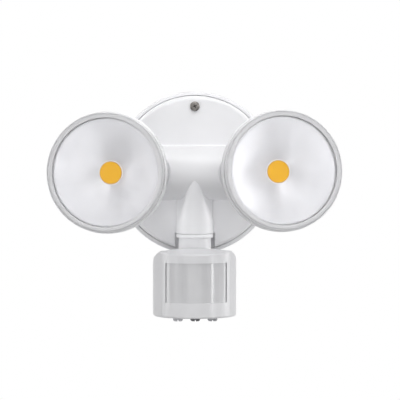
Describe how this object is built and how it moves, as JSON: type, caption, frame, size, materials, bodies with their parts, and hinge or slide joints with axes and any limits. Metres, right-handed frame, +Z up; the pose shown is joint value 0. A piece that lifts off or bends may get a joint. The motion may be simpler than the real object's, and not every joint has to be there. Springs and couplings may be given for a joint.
{
  "type": "motion sensor security light",
  "caption": "Round wall-mounted twin-lamp security light with adjustable reflector heads on jointed arms and a motion sensor hung below.",
  "frame": {"origin": "centre of the wall plate's back face, which lies on the wall", "axes": "+Z up, the light faces -Y, +X to the right of someone facing the light; +Y points into the wall"},
  "size_m": [0.2295, 0.1418, 0.1893],
  "materials": {
    "white_housing": "moulded, fine satin, white",
    "white_powder_coat": "die-cast, white powder coat",
    "white_plastic": "moulded, fine satin, white",
    "grey_plastic": "moulded, light grey",
    "dark_plastic": "moulded, near black",
    "black_rubber": "moulded, matt black",
    "terminal_plastic": "moulded, natural",
    "brass_plated": "plated brass",
    "green_board": "glass-epoxy circuit board, green lacquer",
    "zinc_steel": "zinc plated",
    "ferrite_and_tape": "ferrite core and taped winding",
    "capacitor_sleeve": "shrunk plastic sleeve",
    "milky_sheet": "milky polyethylene sheet",
    "nickel_can": "nickel-plated can",
    "clear_epoxy": "clear cast resin",
    "blue_trimmer": "moulded, blue",
    "clear_polycarbonate": "clear moulded polycarbonate",
    "satin_reflector": "white and satin metallised cone",
    "board_aluminium": "aluminium-cored board, white lacquer",
    "yellow_phosphor": "yellow phosphor in silicone"
  },
  "bodies": {
    "base": {"wall_plate": "white_housing", "wall_gasket": "black_rubber", "cover_gasket": "black_rubber", "cable_grommet": "black_rubber", "terminal_block": "terminal_plastic", "terminal_screws": "brass_plated", "driver_board": "green_board", "driver_screws": "zinc_steel", "driver_transformer": "ferrite_and_tape", "driver_capacitors": "capacitor_sleeve", "driver_relay": "grey_plastic", "front_cover": "white_housing", "cover_screws": "zinc_steel"},
    "right_arm": {"right_arm": "white_powder_coat", "right_arm_oring": "black_rubber", "right_arm_nut": "zinc_steel", "right_hinge_bolt": "zinc_steel", "right_hinge_nut": "zinc_steel"},
    "right_head": {"right_head_housing": "white_powder_coat", "right_head_grommet": "black_rubber", "right_lens": "clear_polycarbonate", "right_lens_gasket": "black_rubber", "right_reflector": "satin_reflector", "right_cob_board": "board_aluminium", "right_cob_emitter": "yellow_phosphor", "right_cob_screws": "zinc_steel"},
    "left_arm": {"left_arm": "white_powder_coat", "left_arm_oring": "black_rubber", "left_arm_nut": "zinc_steel", "left_hinge_bolt": "zinc_steel", "left_hinge_nut": "zinc_steel"},
    "left_head": {"left_head_housing": "white_powder_coat", "left_head_grommet": "black_rubber", "left_lens": "clear_polycarbonate", "left_lens_gasket": "black_rubber", "left_reflector": "satin_reflector", "left_cob_board": "board_aluminium", "left_cob_emitter": "yellow_phosphor", "left_cob_screws": "zinc_steel"},
    "stem": {"sensor_stem": "white_plastic", "stem_nut": "grey_plastic"},
    "sensor": {"sensor_body": "white_plastic", "sensor_front": "white_plastic", "fresnel_lens": "milky_sheet", "pir_board": "green_board", "pyro_sensor": "nickel_can", "photocell": "clear_epoxy", "control_board": "green_board", "trimmers": "blue_trimmer", "tilt_bolt": "zinc_steel", "tilt_nut": "zinc_steel", "case_screws": "zinc_steel"},
    "sensitivity_knob": {"sensitivity_knob": "grey_plastic"},
    "time_knob": {"time_knob": "dark_plastic"},
    "light_level_knob": {"light_level_knob": "grey_plastic"}
  },
  "joints": [
    {"name": "right_arm_swivel", "type": "hinge", "parent": "base", "child": "right_arm", "pos_m": [0.03481, -0.0541, 0], "axis": [-0.6018, 0.7986, 0], "range_deg": [-90, 90]},
    {"name": "right_head_hinge", "type": "hinge", "parent": "right_arm", "child": "right_head", "pos_m": [0.06045, -0.08812, 0], "axis": [0.0946, 0.0713, 0.993], "range_deg": [-15, 75]},
    {"name": "left_arm_swivel", "type": "hinge", "parent": "base", "child": "left_arm", "pos_m": [-0.03481, -0.0541, 0], "axis": [-0.6018, -0.7986, 0], "range_deg": [-90, 90]},
    {"name": "left_head_hinge", "type": "hinge", "parent": "left_arm", "child": "left_head", "pos_m": [-0.06045, -0.08812, 0], "axis": [0.0279, -0.021, -0.9994], "range_deg": [-15, 75]},
    {"name": "sensor_pan", "type": "hinge", "parent": "base", "child": "stem", "pos_m": [0, -0.05, -0.053], "axis": [0, 0, 1], "range_deg": [-50, 50]},
    {"name": "sensor_tilt", "type": "hinge", "parent": "stem", "child": "sensor", "pos_m": [0, -0.05, -0.076], "axis": [0.9986, 0.0523, 0], "range_deg": [-5, 20]},
    {"name": "sensitivity_knob_turn", "type": "hinge", "parent": "sensor", "child": "sensitivity_knob", "pos_m": [-0.01366, -0.05873, -0.115], "axis": [0, 0, -1], "range_deg": [-135, 135]},
    {"name": "time_knob_turn", "type": "hinge", "parent": "sensor", "child": "time_knob", "pos_m": [0.00042, -0.05799, -0.115], "axis": [0, 0, -1], "range_deg": [-135, 135]},
    {"name": "light_level_knob_turn", "type": "hinge", "parent": "sensor", "child": "light_level_knob", "pos_m": [0.0145, -0.05725, -0.115], "axis": [0, 0, -1], "range_deg": [-135, 135]}
  ]
}
